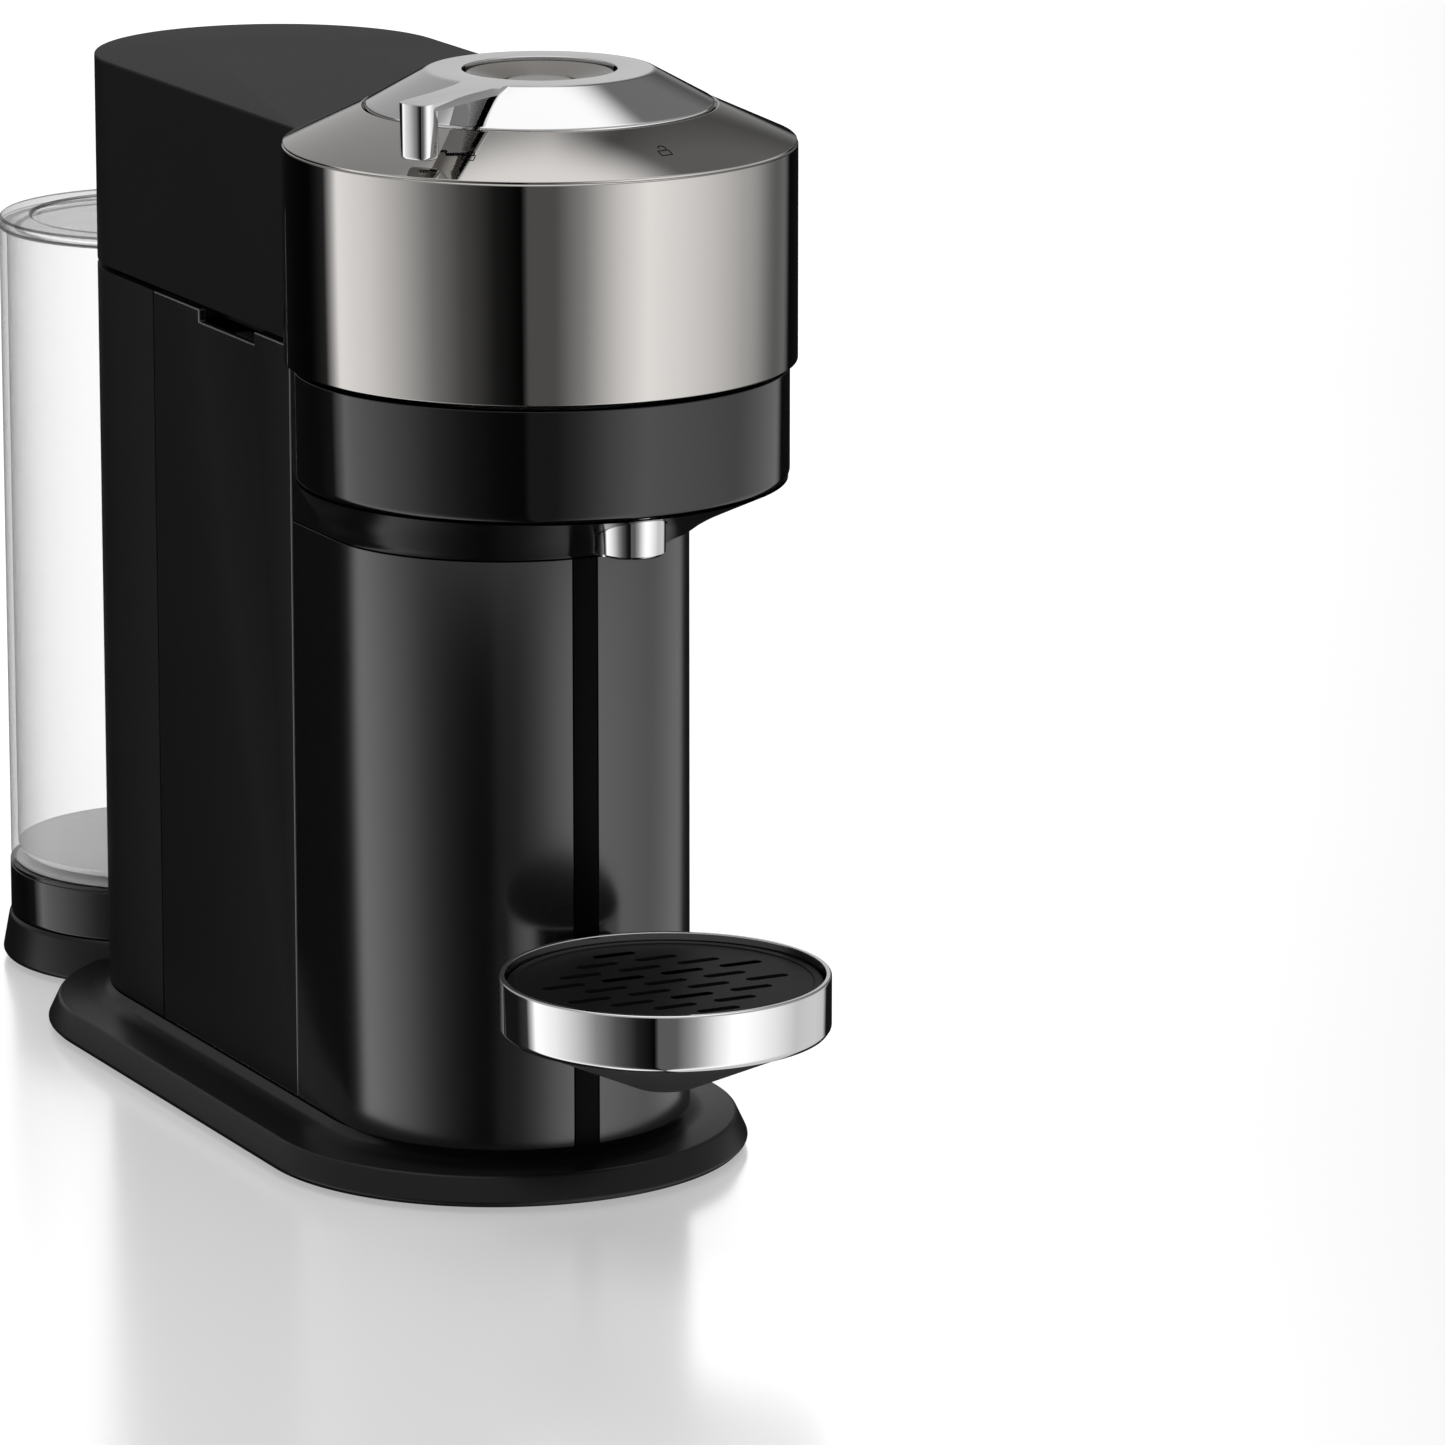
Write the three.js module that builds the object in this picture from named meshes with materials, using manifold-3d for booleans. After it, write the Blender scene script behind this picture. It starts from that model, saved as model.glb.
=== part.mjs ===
// Capsule coffee machine: a slim column on a stadium-shaped base, a round brewing head with a
// locking lever on top, a cup tray on a rail in front and a round clear water tank behind.
// Millimetres, +Z up; the machine faces -Y and stands on z = 0. The pieces are laid out from the
// head's axis, and the whole is then moved so that its footprint is centred on the origin.
import * as THREE from 'three';
import { mergeVertices } from 'three/addons/utils/BufferGeometryUtils.js';
import Module from 'manifold-3d';

// ---------- driving dimensions ----------
const CENTRE_Y = 99.475; // middle of the footprint, measured from the head's axis
const HEAD_R = 71; // brewing head
const HEAD_BOTTOM = 233.4;
const HEAD_EDGE = 294.2; // where the wall turns into the cone
const CONE_TOP = { r: 49, z: 304.2 };
const HEAD_LID = 293.9; // flat top of the head's rear part
const BAND_R = 68.8; // gloss band below the head
const BAND = { z0: 200.6, z1: 231.6 };

const LEVER = { hole: 21.3, flat: 31.4, r: 48, top: 314, edge: 304.9 };
const ARM = { angle: 54.6, root: 15.4, tip: 10.4, reach: 71, thick: 2.4 };
const GRIP = { inner: 64.6, bottom: 298.6 };

const COL_R = 51.8; // column: a stadium in plan
const COL_FRONT = 24.25;
const COL_REAR = 181.7;
const COL_BOTTOM = 14.4;
const COL_TOP = 231.6;
const WALL = 2.4;
const SEAM_FRONT = 54; // joints between the column's front, side and rear pieces
const SEAM_REAR = 151;
const NECK_BOTTOM = 182.3;

const BASE = { r: 71, rTop: 67.7, front: 30, rear: 180, top: 10 };
const TRAY = { y: -76.6, r: 45.45, z0: 59.8, z1: 75.7 };
const TANK = { y: 271, r: 47, z0: 31.6, z1: 232, wall: 2.2 };
const RECESS_R = 49.2; // hollow in the column's back that the tank stands in
const VALVE_Y = -25; // tank valve, from the tank's axis
const HINGE = { y: 222.5, z: 244.2, pin: 3, sweep: 10.8 };
const ROTOR = { r: 38.9, z0: 203.6, z1: 212.4 }; // belt pulley around the capsule holder
const MOTOR = { y: 100, r: 19, pulley: 8 };
const GAP = 0.3;
const FINE = 48; // facets around the large visible rounds
const MID = 24;

// ---------- materials ----------
const material = (color, roughness, metalness, more = {}) =>
  new THREE.MeshStandardMaterial({ color, roughness, metalness, ...more });
const GUNMETAL = material(0x6f6a64, 0.24, 1);
const CHROME = material(0xd8d8d8, 0.06, 1);
const STEEL = material(0xa9abad, 0.35, 1);
const ALUMINIUM = material(0xb6b8ba, 0.42, 0.9);
const BLACK = material(0x1c1c1c, 0.5, 0);
const BLACK_SATIN = material(0x161617, 0.34, 0);
const BLACK_GLOSS = material(0x0c0c0e, 0.08, 0);
const DARK_GREY = material(0x35363a, 0.45, 0);
const RUBBER = material(0x18181a, 0.85, 0);
const BOARD_GREEN = material(0x1d4a33, 0.5, 0);
const SILICONE = material(0xd8d4cc, 0.6, 0);
const CLEAR = material(0xeef3f5, 0.04, 0, { transparent: true, opacity: 0.28 });
const SMOKED = material(0x8d837b, 0.12, 0, { transparent: true, opacity: 0.6 });

// ---------- booleans ----------
const wasm = await Module();
wasm.setup();

// A closed three.js geometry as a solid.
function solid(geometry) {
  const bare = geometry.clone();
  bare.deleteAttribute('normal');
  bare.deleteAttribute('uv');
  const merged = mergeVertices(bare, 1e-4);
  return new wasm.Manifold(new wasm.Mesh({
    numProp: 3,
    vertProperties: new Float32Array(merged.attributes.position.array),
    triVerts: new Uint32Array(merged.index.array),
  }));
}

// A solid back as a three.js geometry.
function surface(body) {
  const mesh = body.getMesh();
  const geometry = new THREE.BufferGeometry();
  geometry.setAttribute('position', new THREE.BufferAttribute(new Float32Array(mesh.vertProperties), 3));
  geometry.setIndex(new THREE.BufferAttribute(new Uint32Array(mesh.triVerts), 1));
  geometry.computeVertexNormals();
  return geometry;
}

const join = (first, ...rest) => rest.reduce((sum, one) => sum.add(one), first);
const cut = (first, ...rest) => rest.reduce((left, one) => left.subtract(one), first);

// ---------- basic solids ----------
// A box from its lowest and highest corners.
function box(x0, x1, y0, y1, z0, z1) {
  const geometry = new THREE.BoxGeometry(x1 - x0, y1 - y0, z1 - z0);
  return solid(geometry.translate((x0 + x1) / 2, (y0 + y1) / 2, (z0 + z1) / 2));
}

// An upright cylinder.
function post(r, z0, z1, { x = 0, y = 0, n = MID } = {}) {
  const geometry = new THREE.CylinderGeometry(r, r, z1 - z0, n).rotateX(Math.PI / 2);
  return solid(geometry.translate(x, y, (z0 + z1) / 2));
}

// A cylinder that lies along X.
function pin(r, x0, x1, y, z, n = 20) {
  const geometry = new THREE.CylinderGeometry(r, r, x1 - x0, n).rotateZ(Math.PI / 2);
  return solid(geometry.translate((x0 + x1) / 2, y, z));
}

// The outline of a stadium whose end centres are at y0 and y1; a circle where they are equal.
function outline(r, y0, y1, n) {
  const half = n / 2;
  const last = y0 === y1 ? half - 1 : half;
  const points = [];
  for (const [centre, start] of [[y0, Math.PI], [y1, 0]]) {
    for (let i = 0; i <= last; i++) {
      const a = start + (Math.PI * i) / half;
      points.push([r * Math.cos(a), centre + r * Math.sin(a)]);
    }
  }
  return points;
}

// Outlines joined into one skin. Each ring is [r, z] or [r, z, y0, y1]. The list runs up the
// outside and down the inside. An open list is capped at both ends: the first cap faces down.
function stack(rings, { y0 = 0, y1 = y0, n = MID, closed = false } = {}) {
  const loops = rings.map(([r, z, a = y0, b = y1]) => outline(r, a, b, n).map(([x, y]) => [x, y, z]));
  const size = loops[0].length;
  const points = loops.flat();
  const index = [];
  const steps = closed ? loops.length : loops.length - 1;
  for (let i = 0; i < steps; i++) {
    const low = i * size;
    const high = ((i + 1) % loops.length) * size;
    for (let j = 0; j < size; j++) {
      const k = (j + 1) % size;
      index.push(low + j, low + k, high + k, low + j, high + k, high + j);
    }
  }
  if (!closed) {
    for (const [which, down] of [[0, true], [loops.length - 1, false]]) {
      const [, z, a = y0, b = y1] = rings[which];
      const centre = points.push([0, (a + b) / 2, z]) - 1;
      for (let j = 0; j < size; j++) {
        const here = which * size + j;
        const next = which * size + ((j + 1) % size);
        index.push(centre, ...(down ? [next, here] : [here, next]));
      }
    }
  }
  const geometry = new THREE.BufferGeometry();
  geometry.setAttribute('position', new THREE.Float32BufferAttribute(points.flat(), 3));
  geometry.setIndex(index);
  return solid(geometry);
}

// A ring of rectangular section.
const tube = (inner, outer, z0, z1, options = {}) =>
  stack([[outer, z0], [outer, z1], [inner, z1], [inner, z0]], { ...options, closed: true });

// The column's outline between two heights, drawn in by an inset.
const column = (inset, z0, z1) =>
  stack([[COL_R - inset, z0], [COL_R - inset, z1]], { y0: COL_FRONT, y1: COL_REAR, n: 36 });

// The space around the water tank, to be cut out of the column and the base.
const tankSpace = (r) => post(r, -5, 260, { y: TANK.y, n: 36 });

// A round bar along a curve through the given points.
function hose(points, r) {
  const path = new THREE.CatmullRomCurve3(points.map((p) => new THREE.Vector3(...p)));
  const section = new THREE.Shape().absarc(0, 0, r, 0, 2 * Math.PI);
  return solid(new THREE.ExtrudeGeometry(section, { steps: 10, curveSegments: 4, extrudePath: path }));
}

// ---------- assembly ----------
const machine = new THREE.Group();
machine.position.y = -CENTRE_Y;
const placed = (parent, x = 0, y = 0, z = 0) => {
  const group = new THREE.Group();
  group.position.set(x, y, z);
  parent.add(group);
  return group;
};
const add = (parent, name, finish, body) => {
  const mesh = new THREE.Mesh(surface(body), finish);
  mesh.name = name;
  parent.add(mesh);
  return mesh;
};

// ---------- base ----------
const base = placed(machine);
const baseEnds = { y0: BASE.front, y1: BASE.rear, n: FINE };
const baseSkin = stack([
  [BASE.r - 1.4, 1.6], [BASE.r, 3], [BASE.rTop, BASE.top], [57, 11], [53.6, 12.2], [52.2, 14],
], baseEnds);
const baseHollow = stack([[66, 0.5], [64.6, 7]], baseEnds);
add(
  base, 'base_plate', BLACK_SATIN, cut(baseSkin, tankSpace(RECESS_R + 1.4), cut(baseHollow, tankSpace(53))),
);

const screwSpots = [[0, -16], [0, 190]];
let cover = cut(stack([[64, 2.4], [64, 4.6]], { ...baseEnds, n: 36 }), tankSpace(54.6));
for (const [x, y] of screwSpots) cover = cut(cover, post(1.9, 2, 5, { x, y, n: 16 }));
add(base, 'bottom_cover', BLACK, cover);

const screwBody = join(stack([[3, 1.1], [3.4, 1.4], [3.4, 2.1]], { n: 12 }), post(1.5, 2, 6.7, { n: 12 }));
screwSpots.forEach(([x, y], i) => add(base, `cover_screw_${i + 1}`, STEEL, screwBody).position.set(x, y, 0));

const footBody = stack([[8, 0], [9, 0.6], [9, 2.1]], { n: 16 });
for (const [name, x, y] of [
  ['front_left', -44, 0], ['front_right', 44, 0], ['rear_left', -44, 205], ['rear_right', 44, 205],
]) {
  add(base, `foot_${name}`, RUBBER, footBody).position.set(x, y, 0);
}

// ---------- column ----------
const inner = column(WALL, COL_BOTTOM - 1, COL_TOP + 1);
const notch = (sign) => box(sign * 50 - 5, sign * 50 + 5, 79, 118, 228, 240);
for (const [name, sign] of [['left', -1], ['right', 1]]) {
  const side = box(
    sign * 50.6 - 1.2, sign * 50.6 + 1.2, SEAM_FRONT + 0.4, SEAM_REAR - 0.4, COL_BOTTOM, COL_TOP,
  );
  add(base, `side_panel_${name}`, BLACK, cut(side, notch(sign)));
}

const rearOutside = cut(
  column(0, COL_BOTTOM, COL_TOP), box(-60, 60, -80, SEAM_REAR + 0.4, 0, 300), tankSpace(RECESS_R),
);
const rearInside = cut(column(WALL, COL_BOTTOM - 1, COL_TOP - WALL), tankSpace(RECESS_R + WALL));
const inlet = { y: 168, z: 27 };
add(
  base, 'rear_shell', BLACK,
  cut(rearOutside, rearInside, box(-13.5, 13.5, 202, 215, 225, 240), pin(5.3, 45, 55, inlet.y, inlet.z)),
);

const deckPlate = box(-49, 49, SEAM_FRONT + 0.6, SEAM_REAR - 0.2, COL_TOP - WALL, COL_TOP);
add(base, 'column_top', BLACK, cut(deckPlate, post(BAND_R + 0.5, 220, 240, { n: 36 }), notch(-1), notch(1)));
for (const [name, sign] of [['left', -1], ['right', 1]]) {
  add(base, `notch_catch_${name}`, DARK_GREY, box(sign * 46 - 2, sign * 46 + 2, 82, 100, 217, 227.6));
}

const inCell = column(WALL + 0.5, COL_BOTTOM, 17);
const floor = cut(inCell, box(-60, 60, -80, 56.5, 0, 300), tankSpace(RECESS_R + WALL + 0.4));
const pinHole = pin(HINGE.pin + GAP, -40, 40, HINGE.y, HINGE.z);
const mast = join(
  box(-12, 12, 205, 212, 16, 249), box(-12, -6, 211, 226, 239.8, 249), box(6, 12, 211, 226, 239.8, 249),
);
const deck = cut(box(-48.9, 48.9, 56.5, 150, 186, 189), post(3.4, 180, 195, { y: MOTOR.y, n: 24 }));
add(
  base, 'chassis_frame', DARK_GREY,
  cut(join(floor, box(-48.9, 48.9, 56.5, 59, 16, 189), deck, mast), pinHole),
);
add(base, 'hinge_pin', STEEL, pin(HINGE.pin, -19.4, 19.4, HINGE.y, HINGE.z));

// ---------- lower brewing head ----------
const neckRings = (inset) => [
  [COL_R - inset, NECK_BOTTOM, COL_FRONT, COL_FRONT], [53.2 - inset, 183.3, 22.2, 22.2],
  [55 - inset, 185.9, 19.6, 19.6], [58 - inset, 189.6, 15.2, 15.2], [61.6 - inset, 193.4, 9.9, 9.9],
  [BAND_R - 0.4 - inset, BAND.z0 - 0.4, 0, 0],
];
const neckBlock = (inset) => cut(
  column(inset, NECK_BOTTOM, BAND.z0 - 0.4), box(-60, 60, -80, 24, 0, 300),
  box(-60, 60, SEAM_FRONT - 0.9, 260, 0, 300),
);
const cheeks = cut(
  join(
    box(-COL_R, -COL_R + WALL, 40, SEAM_FRONT - 0.9, 199, COL_TOP),
    box(COL_R - WALL, COL_R, 40, SEAM_FRONT - 0.9, 199, COL_TOP),
  ),
  post(BAND_R + 0.4, BAND.z0 - 0.35, 240, { n: FINE }),
);
const neckHollow = cut(
  join(
    stack(neckRings(WALL), { n: MID }), post(BAND_R - 3, BAND.z0 - 0.5, 203, { n: FINE }),
    box(-COL_R + WALL, COL_R - WALL, 24, 70, NECK_BOTTOM, 203),
  ),
  box(-80, 80, -80, 80, 0, NECK_BOTTOM + WALL),
);
const spoutHole = join(post(9.5, 180, 210, { y: -57 }), box(-9.5, 9.5, -57, -51.5, 180, 210));
const neck = join(stack(neckRings(0), { n: 36 }), neckBlock(0), cheeks);
add(
  base, 'neck_shell', BLACK_SATIN,
  cut(neck, neckHollow, post(16.4, 180, 190), spoutHole, box(-80, 80, SEAM_FRONT - 0.9, 99, 180, 199.9)),
);

const bandSkin = stack([
  [66.4, BAND.z0], [67.8, BAND.z0], [BAND_R, 202], [BAND_R, BAND.z1], [66.4, BAND.z1],
], { n: FINE, closed: true });
add(base, 'brew_band', BLACK_GLOSS, cut(bandSkin, box(-80, 80, 45, 80, 190, 240)));

const gutter = stack([
  [42, 216], [66, 214.5], [66, 231], [64, 231], [64, 217], [44, 218.5], [44, 227], [42, 227],
], { n: 32, closed: true });
add(base, 'coffee_collector', DARK_GREY, cut(gutter, post(2.4, 210, 222, { y: -57, n: 16 })));

const spoutBody = join(
  cut(stack([[8.2, 188.8], [9, 189.6], [9, 201]], { y0: -57 }), box(-20, 20, -56.9, -40, 180, 210)),
  box(-9, 9, -57, -52, 188.8, 201), post(4, 200, 214.1, { y: -57, n: 24 }),
);
add(base, 'spout', CHROME, cut(spoutBody, post(2.2, 180, 220, { y: -57, n: 16 })));
add(base, 'rotor_bearing', STEEL, tube(10.1, 16, 184.6, 190.4));

// ---------- works inside the column ----------
add(
  base, 'drive_motor', STEEL,
  stack([[MOTOR.r - 2, 130], [MOTOR.r, 132], [MOTOR.r, 182], [10, 182], [10, 184.6]], { y0: MOTOR.y, n: 24 }),
);

// The belt's outline: two arcs and the straight runs that touch both.
function beltOutline(path, big, small) {
  const tilt = Math.asin((big - small) / MOTOR.y);
  path.absarc(0, 0, big, Math.PI - tilt, 2 * Math.PI + tilt);
  path.absarc(0, MOTOR.y, small, tilt, Math.PI - tilt);
  return path.closePath();
}
const loop = beltOutline(new THREE.Shape(), ROTOR.r + 1.8, MOTOR.pulley + 1.8);
loop.holes.push(beltOutline(new THREE.Path(), ROTOR.r + GAP, MOTOR.pulley + GAP));
const beltGeometry = new THREE.ExtrudeGeometry(loop, { depth: 7, curveSegments: 12, bevelEnabled: false });
add(base, 'drive_belt', RUBBER, solid(beltGeometry.translate(0, 0, 204.5)));

add(base, 'heater_block', ALUMINIUM, cut(
  box(-34, 34, 152, 188, 92, 168), ...[104, 118, 132, 146].map((z) => box(-40, -28, 150, 190, z, z + 6)),
));
add(base, 'water_pump', STEEL, stack([[10, 19], [18, 19.5], [18, 62], [9, 64], [9, 80]], { y0: 170, n: 24 }));
add(base, 'flow_meter', BLACK, stack([[12, 20], [13, 21], [13, 38], [6, 39], [6, 44]], { y0: 125, n: 20 }));
add(base, 'control_board', BOARD_GREEN, box(-44.6, -43, 68, 142, 60, 140));
add(base, 'hose_pump_heater', SILICONE, hose([[0, 170, 80.4], [0, 170, 86], [0, 170, 91.6]], 4));
add(
  base, 'hose_heater_hinge', SILICONE,
  hose([[22, 170, 168.5], [22, 171, 190], [21, 182, 212], [20, 190, 226]], 4),
);
const gland = join(pin(5, 46.8, 56, inlet.y, inlet.z), pin(7.6, 52.1, 54, inlet.y, inlet.z));
add(base, 'power_gland', RUBBER, cut(gland, pin(3, 40, 60, inlet.y, inlet.z, 16)));

// ---------- tank cradle ----------
const cradle = placed(machine, 0, TANK.y);
add(cradle, 'tank_cradle', BLACK_SATIN, cut(
  stack([[44, 11.6], [46, 1.8], [49, 1.8], [50, 3], [47.9, 14.2], [47.2, 15]], { n: 36 }),
  post(9.4, 13.2, 20, { y: VALVE_Y, n: 24 }),
));
add(cradle, 'cradle_seal', RUBBER, tube(4, 9.1, 13.5, 15, { n: 24 })).position.set(0, VALVE_Y, 0);
add(
  cradle, 'cradle_foot', RUBBER, stack([[9, 0], [9.6, 0.6], [9.6, 11.3]], { n: 24 }),
).position.set(0, 24, 0);

// ---------- water tank ----------
const tank = placed(machine, 0, TANK.y);
add(tank, 'tank_shell', CLEAR, cut(
  stack(
    [
      [45.4, TANK.z0], [TANK.r, 33.2], [TANK.r, 229], [TANK.r - TANK.wall, 229], [TANK.r - TANK.wall, 36],
      [43, 34.2],
    ],
    { n: FINE },
  ),
  post(5.2, 30, 36, { y: VALVE_Y, n: 24 }),
));
add(tank, 'tank_base_ring', BLACK_GLOSS, tube(43.6, TANK.r + 0.3, 15.3, 31.3, { n: FINE }));
add(tank, 'tank_valve', BLACK, cut(
  stack([[9.6, 15.5], [9.6, 28], [14, 29], [14, 31.3]], { n: 24 }), post(4.6, 10, 35, { n: 24 }),
)).position.set(0, VALVE_Y, 0);
add(
  tank, 'valve_plunger', RUBBER, stack([[3.6, 15.6], [4.2, 16.4], [4.2, 35.5], [2.5, 37.5]], { n: 24 }),
).position.set(0, VALVE_Y, 0);
add(tank, 'tank_lid', CLEAR, stack([
  [40.6, 229.4], [40.6, 228], [42.4, 228], [42.9, 229.3], [TANK.r, 229.3], [TANK.r, 231.4], [46.4, TANK.z1],
  [38, TANK.z1], [37, 231.2],
], { n: FINE }));

// ---------- front drawer with the used-capsule bin ----------
const drawer = placed(machine);
const frontOutside = cut(
  column(0, COL_BOTTOM, NECK_BOTTOM - 0.4), box(-60, 60, SEAM_FRONT - 0.3, 260, 0, 300),
);
add(drawer, 'front_shell', BLACK, cut(
  frontOutside, cut(inner, box(-60, 60, -80, 80, 0, 16.8), box(-60, 60, -80, 80, 179.5, 260)),
  box(-3.9, 3.9, -30, -26.4, 18, 178.7),
));
add(drawer, 'rail_strip', BLACK_GLOSS, box(-3.6, 3.6, -27.2, -26.7, 18.3, 178.4));
const binBody = (inset, z0) => cut(
  stack([[47.6 - inset, z0], [47.6 - inset, 120 + inset]], { y0: COL_FRONT, y1: 120, n: MID }),
  box(-60, 60, 51 - inset, 260, 0, 300),
);
add(drawer, 'capsule_bin', DARK_GREY, cut(binBody(0, 17.4), binBody(2, 19.4)));

// ---------- cup tray on the rail ----------
const tray = placed(machine, 0, TRAY.y);
add(tray, 'tray_ring', CHROME, stack([
  [43.9, 60.6], [44.4, TRAY.z0], [TRAY.r, 61.2], [TRAY.r, 75.3], [45.1, TRAY.z1], [43.9, TRAY.z1],
], { n: FINE, closed: true }));
const bowlSkin = [[9.3, 44.5], [42.4, 59.4], [43.5, 60.2], [43.5, 70.5]];
add(tray, 'tray_bowl', DARK_GREY, stack([...bowlSkin, [41.7, 70.5], [41.7, 61.2], [9, 46.6]], { n: 36 }));
const hook = join(box(-9, 9, 46.1, 48.7, 46, 74), box(-7, 7, 30, 47, 50, 59.1));
add(tray, 'tray_carriage', BLACK, cut(hook, stack([[9.7, 44.1], [43, 59.1], [44, 59.6]], { n: 36 })));

// Slots of the drip grid, in rows across the grid.
const SLOT = { length: 13, width: 3.4, rowStep: 8, colStep: 18 };
let grid = stack([[43.4, 70.9], [43.4, 73], [42.9, 73.5]], { n: 36 });
for (let row = -4; row <= 4; row++) {
  for (let col = -2; col <= 2; col++) {
    const y = row * SLOT.rowStep;
    const x = (col + (row % 2 ? 0.5 : 0)) * SLOT.colStep;
    if (Math.hypot(Math.abs(x) + SLOT.length / 2, y) > 40) continue;
    const half = SLOT.length / 2 - SLOT.width / 2;
    const slot = new THREE.Shape();
    slot.absarc(x + half, y, SLOT.width / 2, -Math.PI / 2, Math.PI / 2);
    slot.absarc(x - half, y, SLOT.width / 2, Math.PI / 2, Math.PI * 1.5);
    slot.closePath();
    const bar = new THREE.ExtrudeGeometry(slot, { depth: 10, curveSegments: 2, bevelEnabled: false });
    grid = cut(grid, solid(bar.translate(0, 0, 66)));
  }
}
add(tray, 'drip_grid', BLACK, grid);

// ---------- capsule holder that the belt turns ----------
const rotor = placed(machine);
add(rotor, 'capsule_holder', ALUMINIUM, stack([
  [9.8, 184.8], [9.8, 193], [24, 193], [31, 198], [33, ROTOR.z0], [ROTOR.r, ROTOR.z0], [ROTOR.r, ROTOR.z1],
  [34.5, ROTOR.z1], [34.5, 227], [38, 227], [38, 230], [31.8, 230], [29, 201], [22, 196],
]));
const drive = placed(machine, 0, MOTOR.y);
add(
  drive, 'motor_pulley', STEEL,
  stack([[2.4, 185], [2.4, 203.6], [MOTOR.pulley, 203.6], [MOTOR.pulley, 212.4]], { n: 24 }),
);

// ---------- hinged upper head ----------
const head = placed(machine);
const drum = stack([
  [HEAD_R, HEAD_BOTTOM], [HEAD_R, HEAD_EDGE], [CONE_TOP.r, CONE_TOP.z], [47.9, 302.2], [68.6, 292.4],
  [68.6, HEAD_BOTTOM],
], { n: FINE, closed: true });
add(head, 'head_drum', GUNMETAL, cut(drum, box(-49.4, 49.4, 45, 80, 220, 290)));
const rearSkin = stack(
  [[COL_R, HEAD_BOTTOM], [COL_R, HEAD_LID - 0.8], [COL_R - 0.8, HEAD_LID]],
  { y0: COL_FRONT, y1: COL_REAR, n: 36 },
);
const heel = cut(box(-60, 60, HINGE.y, 260, 220, HINGE.z), pin(HINGE.sweep, -60, 60, HINGE.y, HINGE.z, MID));
add(
  head, 'head_rear_shell', BLACK,
  cut(rearSkin, column(WALL, 220, HEAD_LID - WALL), post(HEAD_R + 0.3, 220, 310, { n: FINE }), heel),
);

const slab = join(
  post(67.6, 264, 268, { n: 36 }),
  cut(column(WALL + 0.6, 264, 268), box(-60, 60, -80, 20, 0, 300), box(-60, 60, 216, 260, 0, 300)),
);
const ears = join(box(-18, -12.4, 212, 227, 240, 267), box(12.4, 18, 212, 227, 240, 267));
add(head, 'head_frame', DARK_GREY, cut(join(slab, ears), pinHole));
add(head, 'lever_bearing', BLACK, stack([
  [22, 268.3], [25, 268.3], [25, 297], [46.6, 297], [46.6, 301], [14, 301], [14, 298.6], [22, 298.6],
], { n: 32, closed: true }));
add(head, 'button_board', BOARD_GREEN, stack([[17.8, 301.4], [17.8, 303]], { n: 24 }));
add(head, 'display_dish', SMOKED, stack([
  [18.6, 301.3], [20.9, 301.3], [20.9, 312.9], [20.1, 312.9], [10.3, 310.6], [10.3, 309.4], [18.6, 309.8],
], { n: 32, closed: true }));
add(head, 'injector_housing', BLACK, stack([
  [10, 240], [46, 240], [46, 263.6], [43.4, 263.6], [43.4, 243], [10, 243],
], { n: MID, closed: true }));
add(
  head, 'injector_needle', STEEL,
  stack([[0.8, 226], [1.8, 231], [1.8, 256], [6, 256], [6, 263.6]], { n: 20 }),
);
add(
  head, 'injector_rotor', ALUMINIUM,
  tube(2.4, 8.8, 238, 252, { n: 24 }).add(tube(2.4, 30, 234.4, 239, { n: 36 })),
);

// ---------- locking lever ----------
const lever = placed(head);
const leverRing = stack([
  [LEVER.r, 303.6], [LEVER.r, LEVER.edge], [LEVER.flat, LEVER.top], [LEVER.hole, LEVER.top],
  [LEVER.hole, 311], [30.6, 311], [46.4, 303.6],
], { n: FINE, closed: true });
const armShape = new THREE.Shape();
armShape.moveTo(24, -ARM.root / 2);
armShape.lineTo(30, -ARM.root / 2);
armShape.quadraticCurveTo(36, -ARM.tip / 2 - 1, 46, -ARM.tip / 2 - 0.5);
armShape.lineTo(ARM.reach - 4, -ARM.tip / 2);
armShape.quadraticCurveTo(ARM.reach, -ARM.tip / 2, ARM.reach, 0);
armShape.quadraticCurveTo(ARM.reach, ARM.tip / 2, ARM.reach - 4, ARM.tip / 2);
armShape.lineTo(46, ARM.tip / 2 + 0.5);
armShape.quadraticCurveTo(36, ARM.tip / 2 + 1, 30, ARM.root / 2);
armShape.lineTo(24, ARM.root / 2);
armShape.closePath();
const arm = new THREE.ExtrudeGeometry(armShape, { depth: ARM.thick, curveSegments: 6, bevelEnabled: false });
const gripShape = new THREE.Shape();
gripShape.moveTo(GRIP.inner, -ARM.tip / 2);
gripShape.lineTo(ARM.reach - 4, -ARM.tip / 2);
gripShape.quadraticCurveTo(ARM.reach, -ARM.tip / 2, ARM.reach, 0);
gripShape.quadraticCurveTo(ARM.reach, ARM.tip / 2, ARM.reach - 4, ARM.tip / 2);
gripShape.lineTo(GRIP.inner, ARM.tip / 2);
gripShape.closePath();
const grip = new THREE.ExtrudeGeometry(
  gripShape, { depth: LEVER.top - GRIP.bottom, curveSegments: 6, bevelEnabled: false },
);
const leverBody = join(
  leverRing, solid(arm.translate(0, 0, LEVER.top - ARM.thick)), solid(grip.translate(0, 0, GRIP.bottom)),
);
add(lever, 'lever', CHROME, leverBody).rotation.z = -Math.PI / 2 - THREE.MathUtils.degToRad(ARM.angle);
const claw = (i) => {
  const a = (i * 2 * Math.PI) / 3;
  return post(6, 230, 250, { x: 52 * Math.cos(a), y: 52 * Math.sin(a), n: 24 });
};
add(lever, 'clamp_ring', STEEL, cut(tube(50, 66, 236, 243, { n: 36 }), claw(0), claw(1), claw(2)));

// ---------- brew button ----------
add(
  placed(head), 'brew_button', SMOKED,
  stack([[9.4, 306.4], [9.7, 306.8], [9.7, 310.4], [9.2, 310.9], [7.5, 310.7]], { n: MID }),
);

export default machine;
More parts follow.
